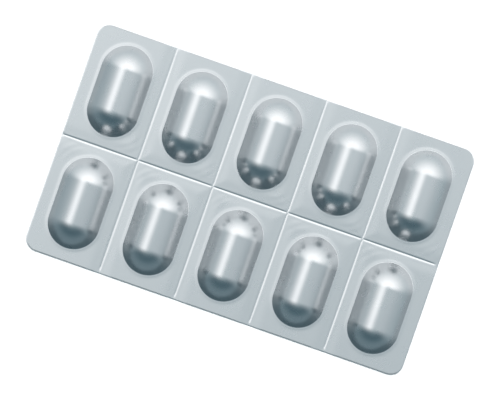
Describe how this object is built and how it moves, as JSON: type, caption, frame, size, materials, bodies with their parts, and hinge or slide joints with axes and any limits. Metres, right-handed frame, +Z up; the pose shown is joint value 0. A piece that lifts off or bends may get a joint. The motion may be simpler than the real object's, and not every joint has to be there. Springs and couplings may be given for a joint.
{
  "type": "pill blister pack",
  "caption": "Sealed cold-formed aluminium blister pack with oblong domed pockets in two rows, parted by pressed score lines.",
  "frame": {"origin": "middle of the flat lidding foil's outer face, on which the pack lies", "axes": "+X along the rows of five pockets, +Y along the length of a pocket, +Z up out of the domes"},
  "size_m": [0.095, 0.057, 0.0054],
  "materials": {
    "cold_form_laminate": "satin cold-formed aluminium laminate, opaque"
  },
  "bodies": {
    "root": {"blister_pack": "cold_form_laminate"}
  },
  "joints": []
}
